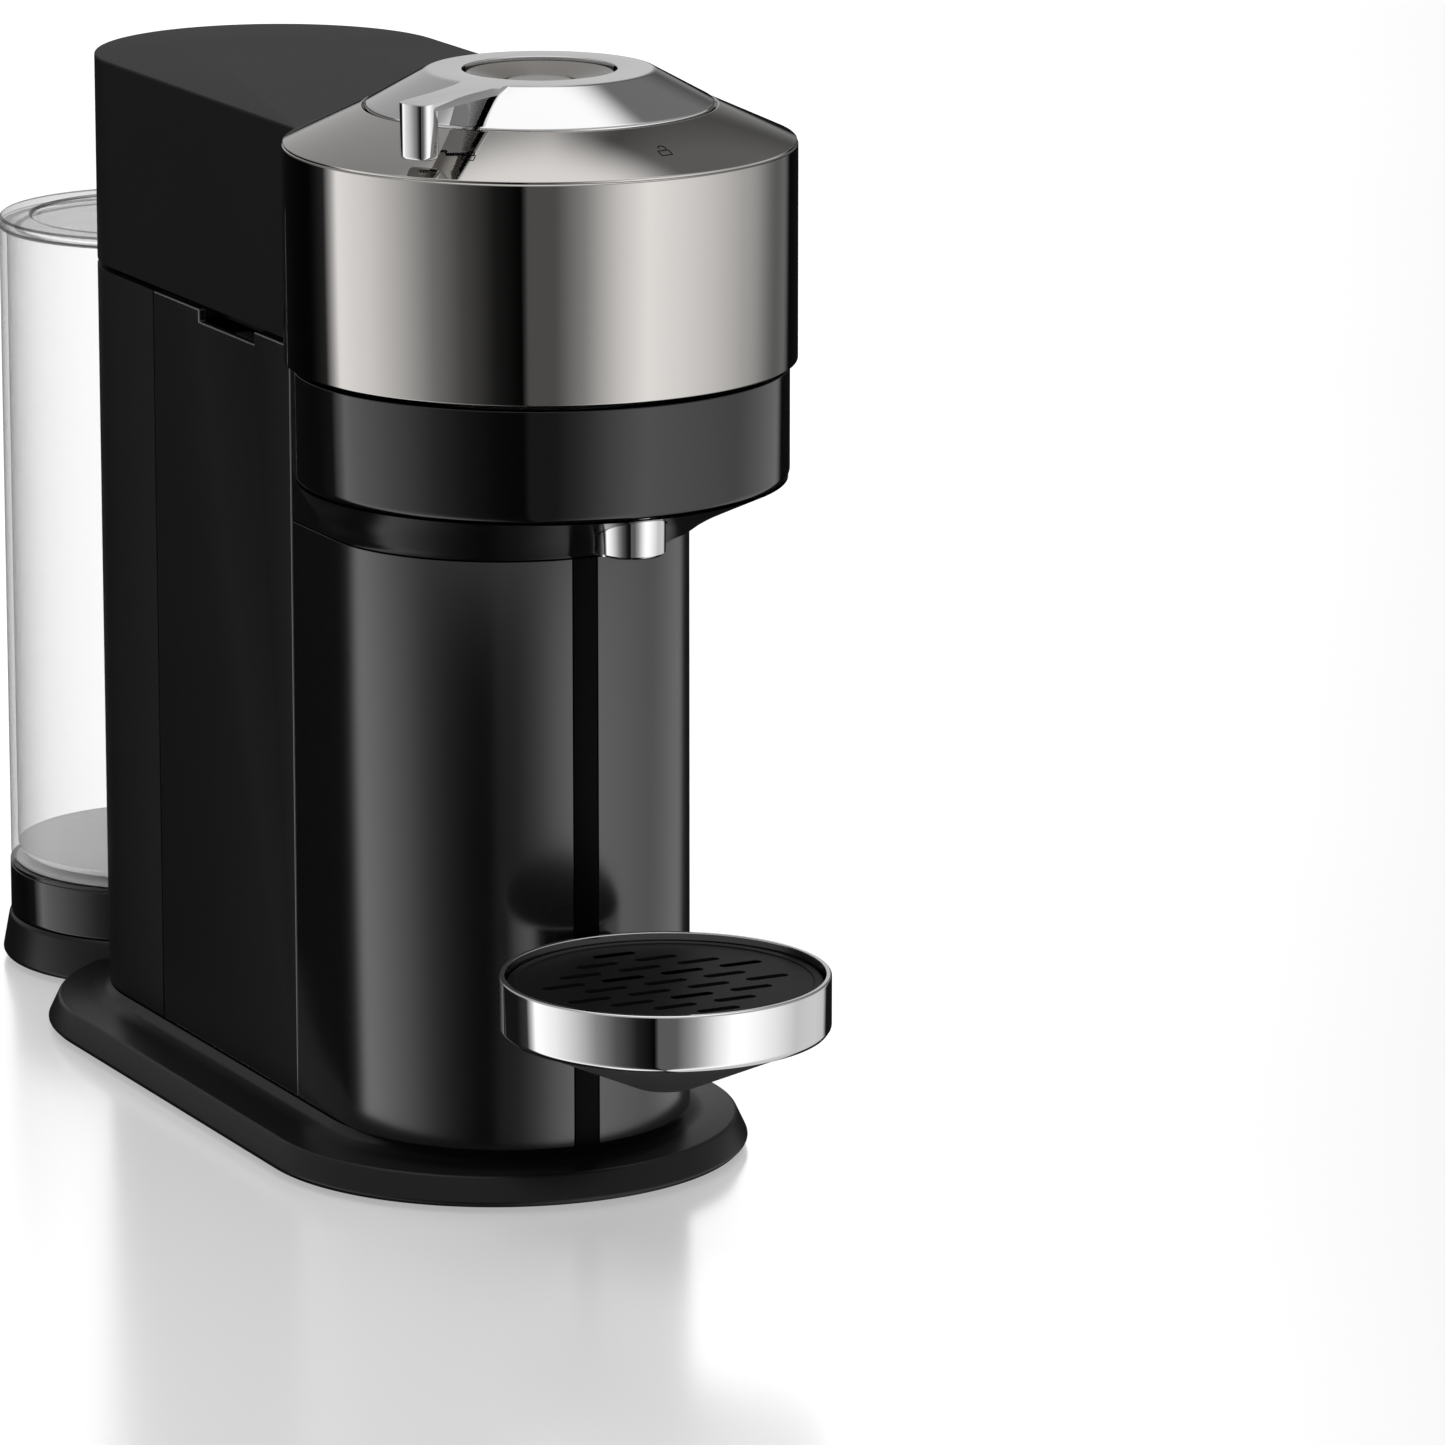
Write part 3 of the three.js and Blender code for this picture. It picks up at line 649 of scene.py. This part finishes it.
for side, sign in (("left", -1), ("right", 1)):
    cheek = block(*sorted((sign * COL_R, sign * (COL_R - WALL))), 40, SEAM_FRONT - 0.9, 200.4, TOP)
    cheek = shaped(cheek, ("cut", turned("band_space", [(69.2, 180), (69.2, 240)], n=200)), soft=0.3)
    show(f"neck_cheek_{side}", cheek, matte_black, "body", slot="black_satin")

# %% [markdown]
# ## Brewing band and spout
# The gloss band is a plain ring with a rounded lower edge. The spout is a small plated tongue:
# a half round with a flat back and a bore through it.

# %% Band and spout
band_ring = turned("band", [
    (66.4, 200.6), (67.8, 200.6, 0.5), (68.8, 202, 1.0), (68.8, 231.6, 0.35), (66.4, 231.6),
], n=320, closed=True)
band_ring = shaped(band_ring, ("cut", block(-80, 80, 45, 80, 190, 240)))
show("brew_band_skin", band_ring, gloss_black, "body", "brew_band")

spout = shaped(
    shaped(
        turned("tongue", [(8.2, 188.8), (9, 189.6), (9, 201)], y0=-57),
        ("cut", block(-20, 20, -56.9, -40, 180, 210)),
    ),
    ("join", block(-9, 9, -57, -52, 188.8, 201)),
    ("join", turned("stem", [(4, 200), (4, 214.1)], y0=-57, n=64)),
    ("cut", turned("bore", [(2.2, 180), (2.2, 220)], y0=-57, n=48)), soft=0.35,
)
show("spout_skin", spout, chrome, "body", "spout")

# %% [markdown]
# ## Brewing head
# The drum is one turned shell: an upright wall, a hairline groove and a shallow cone. The rear
# part is cut from the same stadium as the column, so that their sides line up.

# %% Drum and rear shell
drum = turned("drum", [
    (71, 233.4, 0.5), (71, 293.4, 0.25), (70.55, 293.7), (70.75, 294.3, 0.3), (49, 304.2, 0.4),
    (47.9, 302.2), (68.6, 292.4), (68.6, 233.4),
], n=320, closed=True)
show("drum_skin", shaped(drum, ("cut", block(-49.4, 49.4, 45, 80, 220, 290))), gunmetal, "head", "head_drum")

HINGE = {"y": 222.5, "z": 244.2}
heel = shaped(
    block(-60, 60, HINGE["y"], 260, 220, HINGE["z"]), ("cut", rod(10.8, -61, 61, HINGE["y"], HINGE["z"], 96)),
)
head_rear = shaped(
    turned("head_rear", [(COL_R, 233.4, 0.5), (COL_R, 293.9, 0.8), (20, 293.9)], **COLUMN),
    ("cut", column(WALL, 220, 291.5)), ("cut", turned("drum_space", [(71.3, 220), (71.3, 310)], n=320)),
    ("cut", heel),
)
show("head_rear_skin", head_rear, matte_black, "head", "head_rear_shell", sharp=24)

# %% [markdown]
# ## Lever
# The lever is plated: a ring with a flat top, a sloping side, and an arm that grows out of the
# flat and turns down into a grip. The three are joined and their edges softened together, so
# that the plating runs over them without a seam.

# %% Lever
ARM_TURN = -math.pi / 2 - math.radians(54.6)


def arm_plan(inner):
    """The arm's outline seen from above: a wide root, a narrow tip and rounded corners."""
    if inner < 60:
        half = [(24, 9.5), (28, 8.3), (31, 7.4), (34, 6.6), (38, 6.0), (46, 5.6), (56, 5.4)]
    else:
        half = [(inner, 5.2)]
    corner = [(67 + 4 * math.sin(a), 1.2 + 4 * math.cos(a)) for a in (0.3, 0.6, 0.9, 1.2, 1.45)]
    half += [(67, 5.2), *corner, (71, 0)]
    points = half + [(x, -y) for x, y in reversed(half[:-1])]
    c, s = math.cos(ARM_TURN), math.sin(ARM_TURN)
    return [(x * c - y * s, x * s + y * c) for x, y in reversed(points)]


def slab(plan, *heights):
    """A plan raised through the given heights."""
    return skin("slab", [[(x, y, z) for x, y in plan] for z in heights])


lever_ring = turned("lever_ring", [
    (48, 303.6), (48, 304.9, 0.5), (31.4, 314, 0.9), (21.3, 314, 0.35), (21.3, 311), (30.6, 311),
    (46.4, 303.6),
], n=240, closed=True)
grip = shaped(slab(arm_plan(64.6), 298.6, 313.9), soft=1.2, angle=60)
lever = shaped(lever_ring, ("join", slab(arm_plan(24), 311.8, 314)), ("join", grip), soft=0.35, angle=40)
show("lever_skin", lever, chrome, "lever_ring", "lever", sharp=40)

# %% [markdown]
# ## Display dish and button
# Inside the lever sits a smoked dish, with the brew button sunk in its middle.

# %% Dish and button
dish = turned("dish", [
    (18.6, 301.3), (20.4, 301.3), (20.4, 312.9, 0.25), (19.6, 312.9, 0.25), (10.3, 310.6, 0.2), (10.3, 309.4),
    (18.6, 309.8),
], n=160, closed=True)
show("display_dish_skin", dish, smoked, "head", "display_dish")
button = turned(
    "button",
    [(9.0, 306.4), (9.3, 306.8), (9.3, 310.4, 0.35), (8.6, 310.9, 0.3), (7.5, 310.7, 0.3), (0.5, 310.5)],
    n=128,
)
show("brew_button_skin", button, smoked, "button", "brew_button")

# %% [markdown]
# ## Cup tray
# A polished ring carries a shallow bowl, and a loose grid drops into it. The grid's slots are
# rows of long holes, every second row moved half a step: just the kind of rule that Geometry
# Nodes are good at. The tree lays the rows out, drops what falls outside the grid, and cuts.

# %% Tray ring and bowl
TRAY_Y = -76.6
tray_ring = turned("tray_ring", [
    (43.9, 60.6), (44.4, 59.8, 0.3), (45.45, 61.2, 0.5), (45.45, 75.3, 0.35), (45.1, 75.7, 0.2),
    (43.9, 75.7, 0.3),
], y0=TRAY_Y, n=256, closed=True)
show("tray_ring_skin", tray_ring, chrome, "tray", "tray_ring")
bowl = turned("bowl", [
    (9.3, 44.5), (42.4, 59.4, 0.8), (43.5, 60.2, 0.4), (43.5, 70.5), (41.7, 70.5), (41.7, 61.2, 1.0),
    (9, 46.6),
], y0=TRAY_Y, n=192)
show("tray_bowl_skin", bowl, bowl_grey, "tray", "tray_bowl")


# %% Geometry trees
def geometry_tree(name, sizes):
    """A geometry tree with named size inputs. Returns its board and the inputs as wires."""
    tree = bpy.data.node_groups.new(name, "GeometryNodeTree")
    board = Board(tree)
    tree.interface.new_socket("Geometry", in_out="INPUT", socket_type="NodeSocketGeometry")
    for key, value in sizes.items():
        kind = "NodeSocketInt" if isinstance(value, int) else "NodeSocketFloat"
        tree.interface.new_socket(key, in_out="INPUT", socket_type=kind).default_value = value
    tree.interface.new_socket("Geometry", in_out="OUTPUT", socket_type="NodeSocketGeometry")
    entry = tree.nodes.new("NodeGroupInput")
    return board, {socket.name: Wire(board, socket) for socket in entry.outputs if socket.name}


def finish_tree(board, geometry, material):
    """Ends a tree as the export needs it: real geometry, in its material."""
    real = board.wire("GeometryNodeRealizeInstances", None, {"Geometry": geometry})
    painted = board.wire("GeometryNodeSetMaterial", None, {"Geometry": real, "Material": material})
    board.wire("NodeGroupOutput", None, {0: painted})


def grown(name, board, mesh, **sizes):
    """Runs a tree on a mesh with the given sizes, set by their sockets' identifiers."""
    maker = bpy.data.objects.new(name, mesh)
    bpy.context.scene.collection.objects.link(maker)
    modifier = maker.modifiers.new("grow", "NODES")
    modifier.node_group = board.tree
    for item in board.tree.interface.items_tree:
        if item.in_out == "INPUT" and item.name in sizes:
            modifier[item.identifier] = sizes[item.name]
    maker.update_tag()
    graph = bpy.context.evaluated_depsgraph_get()
    result = bpy.data.meshes.new_from_object(maker.evaluated_get(graph))
    maker.modifiers.clear()
    bpy.data.objects.remove(maker)
    return result


# %% Slotted grid tree
slots, at = geometry_tree("slot_rows", {
    "Length": 0.013, "Width": 0.0034, "RowStep": 0.008, "ColumnStep": 0.018, "Reach": 0.04, "X": 0.0,
    "Y": 0.0, "Z": 0.0,
})
plan = slots.wire(
    "GeometryNodeCurvePrimitiveQuadrilateral", None, {"Width": at["Length"], "Height": at["Width"]},
)
plan = slots.wire(
    "GeometryNodeFilletCurve", {"mode": "POLY"}, {"Curve": plan, "Count": 6, "Radius": at["Width"] * 0.499},
)
face = slots.wire("GeometryNodeFillCurve", {"mode": "NGONS"}, {"Curve": plan})
wall = slots.wire(
    "GeometryNodeExtrudeMesh", {"mode": "FACES"}, {"Mesh": face, "Offset Scale": 0.01, "Individual": False},
)
under = slots.wire("GeometryNodeFlipFaces", None, {"Mesh": face})
punch = slots.tree.nodes.new("GeometryNodeJoinGeometry")
for part in (under, wall):
    slots.tree.links.new(part.socket, punch.inputs[0])
punch = slots.wire("GeometryNodeMergeByDistance", None, {"Geometry": Wire(slots, punch.outputs[0])})
index = slots.wire("GeometryNodeInputIndex")
row = slots.wire("ShaderNodeMath", {"operation": "FLOOR"}, {0: index / 5.0})
column_of = index - row * 5.0
x = (column_of - 2.0 + (row % 2.0) * 0.5) * at["ColumnStep"]
y = (row - 4.0) * at["RowStep"]
spot = slots.wire("ShaderNodeCombineXYZ", None, {"X": x, "Y": y})
dots = slots.wire("GeometryNodePoints", None, {"Count": 45, "Position": spot})
side_reach = slots.wire("ShaderNodeMath", {"operation": "ABSOLUTE"}, {0: x}) + at["Length"] * 0.5
far = slots.wire("ShaderNodeMath", {"operation": "SQRT"}, {0: side_reach * side_reach + y * y}) > at["Reach"]
dots = slots.wire("GeometryNodeDeleteGeometry", {"domain": "POINT"}, {"Geometry": dots, "Selection": far})
punches = slots.wire("GeometryNodeInstanceOnPoints", None, {"Points": dots, "Instance": punch})
punches = slots.wire("GeometryNodeRealizeInstances", None, {"Geometry": punches})
place = slots.wire("ShaderNodeCombineXYZ", None, {"X": at["X"], "Y": at["Y"], "Z": at["Z"]})
punches = slots.wire("GeometryNodeTransform", None, {"Geometry": punches, "Translation": place})
holed = slots.wire(
    "GeometryNodeMeshBoolean", {"operation": "DIFFERENCE"}, {"Mesh 1": at["Geometry"], "Mesh 2": punches},
)
finish_tree(slots, holed, matte_black)

disc = turned("disc", [
    (43.2, 70.9), (43.4, 71.1), (43.4, 73, 0.3), (42.9, 73.5, 0.2), (40.8, 73.5), (40.5, 73.2), (1, 73.2),
], y0=TRAY_Y, n=160)
grid = grown("grid", slots, disc, X=0.0, Y=(TRAY_Y + HEAD_Y) * MM, Z=0.066)
show("drip_grid_skin", grid, matte_black, "grid", "drip_grid")

# %% [markdown]
# ## Water tank
# The tank is a clear tube with a floor, which stands in a gloss ring and carries a stepped lid.
# Clear plastic looks like almost nothing except at its rims, so the steps of the lid and the
# rounded mouth of the tube matter more than the plastic's colour. The thin rims are darkened,
# and the tube's floor is frosted.

# %% Tank
TANK_TURN = {"y0": TANK_Y, "n": 220}
tank_tube = turned("tank_tube", [
    (45.4, 31.6), (47, 33.2, 0.8), (47, 229, 0.4), (44.8, 229, 0.4), (44.8, 36, 1.2), (43, 34.2),
], **TANK_TURN)
valve_bore = turned("valve_bore", [(5.2, 30), (5.2, 36)], y0=TANK_Y - 25, n=64)
tube = rim(shaped(tank_tube, ("cut", valve_bore)), (44, 48, 228.6, 229.2))
tube.materials.append(frosted)
rim(tube, (0, 45.2, 31, 36.5), index=2)
show("tank_shell_skin", tube, clear, "tank", "tank_shell", edge=clear_edge)
lid = turned("lid", [
    (40.6, 229.4), (40.6, 228, 0.2), (42.4, 228, 0.2), (42.9, 229.3), (47, 229.3, 0.3), (47, 231.4, 0.3),
    (46.4, 232, 0.3),
    (38, 232, 0.4), (37, 231.2, 0.4), (35.6, 231.2, 0.2), (35.2, 230.9, 0.2), (1, 230.9),
], **TANK_TURN)
rim(
    lid, (46.2, 47.2, 231.3, 232.1), (46.9, 47.2, 229.2, 229.7), (36.9, 38.1, 231, 232),
    (40.5, 42.5, 227.9, 228.3),
)
show("tank_lid_skin", lid, clear, "lid", "tank_lid", edge=clear_edge)
base_ring = turned("base_ring", [
    (43.6, 15.3), (47.0, 15.3, 0.3), (47.3, 15.8, 0.3), (47.3, 30.0, 0.2), (47.0, 30.2), (47.0, 30.6),
    (47.3, 30.8, 0.2), (47.3, 31.3, 0.2), (43.6, 31.3),
], closed=True, **TANK_TURN)
show("tank_base_ring_skin", base_ring, gloss_black, "tank", "tank_base_ring")
cradle = turned(
    "cradle", [(44, 11.6), (46, 1.8), (49, 1.8, 0.4), (50, 3, 0.8), (47.9, 14.2, 0.8), (47.2, 15)],
    **TANK_TURN,
)
cradle = shaped(cradle, ("cut", turned("seat", [(9.4, 13.2), (9.4, 20)], y0=TANK_Y - 25, n=96)))
show("tank_cradle_skin", cradle, satin_black, "body", "tank_cradle")

# %% [markdown]
# ## Marks
# Two small padlocks, one open and one closed, stand on the drum's cone to show how the lever
# turns. They are drawn flat as strokes and then laid on the cone, a hair above its surface.

# %% Padlocks
CONE_FOOT, CONE_RISE = (71, 294.2), (-22, 10)
CONE_SLOPE = math.hypot(*CONE_RISE)


def on_cone(u, v, bearing, lift):
    """A place on the cone: u to the right, v up the slope, in mm from the icon's middle."""
    t = 0.5 + v / CONE_SLOPE
    r = CONE_FOOT[0] + CONE_RISE[0] * t - lift * CONE_RISE[1] / -CONE_SLOPE
    a = bearing + u / r
    return (r * math.sin(a), -r * math.cos(a), CONE_FOOT[1] + CONE_RISE[1] * t + lift * 22 / CONE_SLOPE)


def stroke(shape, path, bearing, width=0.32, loop=False):
    """Adds a ribbon along a path of (u, v) to the shape."""
    count = len(path)
    rails = []
    for i, point in enumerate(path):
        before = Vector(path[i - 1] if i or loop else path[0])
        after = Vector(path[(i + 1) % count] if i < count - 1 or loop else path[-1])
        along = (after - before).normalized()
        across = Vector((-along.y, along.x)) * width / 2
        pair = []
        for sign in (1, -1):
            u, v = Vector(point) + across * sign
            x, y, z = on_cone(u, v, bearing, 0.06)
            pair.append(shape.verts.new((x * MM, (y + HEAD_Y) * MM, z * MM)))
        rails.append(pair)
    for i in range(count if loop else count - 1):
        (a, b), (c, d) = rails[i], rails[(i + 1) % count]
        shape.faces.new((a, b, d, c))


def padlock(name, bearing, tilt):
    """A padlock of two strokes; a tilt of 0 shuts its bow."""
    shape = bmesh.new()
    body = [(-1.7, -2.1), (1.7, -2.1), (1.7, 0.2), (-1.7, 0.2)]
    body = [p for i, p in enumerate(body) for p in (p, tuple((Vector(p) + Vector(body[(i + 1) % 4])) / 2))]
    stroke(shape, body, bearing, loop=True)
    arc = (0.4, 0.8, 1.2, 1.57, 1.95, 2.35, 2.75)
    bow = [(1.1, 0.3), (1.1, 1.0)] + [(1.1 * math.cos(a), 1.0 + 1.1 * math.sin(a)) for a in arc]
    bow += [(-1.1, 1.0), (-1.1, 0.3 if tilt == 0 else 0.8)]
    c, s = math.cos(tilt), math.sin(tilt)
    turned_bow = []
    for u, v in bow:
        du, dv = u - 1.1, v - 0.3
        turned_bow.append((1.1 + du * c + dv * s, 0.3 - du * s + dv * c))
    stroke(shape, turned_bow, bearing)
    bmesh.ops.recalc_face_normals(shape, faces=shape.faces)
    mesh = bpy.data.meshes.new(name)
    shape.to_mesh(mesh)
    shape.free()
    return show(name, mesh, rail_black, "head", slot="black_gloss")


padlock("mark_closed", math.radians(-44), 0)
padlock("mark_open", math.radians(8), 0.35)

# %% [markdown]
# ## Hidden works
# The pump, heater, motor and frame sit inside. They keep their engineering shapes and get a
# finish, because they are seen through small gaps or when the head is tilted up. A second
# Geometry Nodes tree stands teeth or ribs round an axis: the pulley's and the holder's teeth
# that the belt runs on, and the cooling ribs of the motor.

# %% Finish for the works
dress(dark_plastic, "chassis_frame", "coffee_collector", "capsule_bin", "head_frame")
dress(bowl_grey, "notch_catch_left", "notch_catch_right")
dress(steel, "hinge_pin", "rotor_bearing", "drive_motor", "water_pump", "motor_pulley", "clamp_ring",
      "injector_needle", "cover_screw_1", "cover_screw_2")
dress(aluminium, "heater_block", "capsule_holder", "injector_rotor")
dress(matte_black, "flow_meter", "tank_valve", "lever_bearing", "injector_housing", "bottom_cover",
      "tray_carriage", "column_top")
dress(rubber, "drive_belt", "cradle_seal", "valve_plunger", "power_gland", "cradle_foot",
      "foot_front_left", "foot_front_right", "foot_rear_left", "foot_rear_right")
dress(silicone, "hose_pump_heater", "hose_heater_hinge")
dress(circuit, "control_board", "button_board")


# %% Teeth round an axis
def teeth_tree(material):
    """A tree that stands blocks in a ring about an upright axis."""
    board, at = geometry_tree("teeth_" + material.name, {
        "Count": 12, "Radius": 0.02, "Thick": 0.001, "Wide": 0.002, "High": 0.01, "Y": 0.0, "Z": 0.0,
    })
    size = board.wire("ShaderNodeCombineXYZ", None, {"X": at["Thick"], "Y": at["Wide"], "Z": at["High"]})
    tooth = board.wire("GeometryNodeMeshCube", None, {"Size": size})
    circle = board.wire("GeometryNodeMeshCircle", None, {"Vertices": at["Count"], "Radius": at["Radius"]})
    turn = board.wire("GeometryNodeInputIndex") * (2 * math.pi) / at["Count"]
    facing = board.wire("ShaderNodeCombineXYZ", None, {"Z": turn})
    ring = board.wire(
        "GeometryNodeInstanceOnPoints", None, {"Points": circle, "Instance": tooth, "Rotation": facing},
    )
    place = board.wire("ShaderNodeCombineXYZ", None, {"Y": at["Y"], "Z": at["Z"]})
    finish_tree(
        board, board.wire("GeometryNodeTransform", None, {"Geometry": ring, "Translation": place}), material,
    )
    return board


for name, material, body, slot, y, sizes in (
    (
        "holder_teeth", aluminium, "holder", "aluminium", 0,
        {"Count": 72, "Radius": 0.0385, "Thick": 0.0011, "Wide": 0.0016, "High": 0.0078, "Z": 0.2081},
    ),
    (
        "pulley_teeth", steel, "motor_shaft", "steel", 100,
        {"Count": 16, "Radius": 0.0079, "Thick": 0.0006, "Wide": 0.0014, "High": 0.0078, "Z": 0.2081},
    ),
    (
        "motor_ribs", steel, "body", "steel", 100,
        {"Count": 24, "Radius": 0.0191, "Thick": 0.0012, "Wide": 0.0012, "High": 0.036, "Z": 0.157},
    ),
):
    empty = bpy.data.meshes.new("empty")
    ring = grown(name, teeth_tree(material), empty, Y=(y + HEAD_Y) * MM, **sizes)
    show(name, ring, material, body, slot=slot)
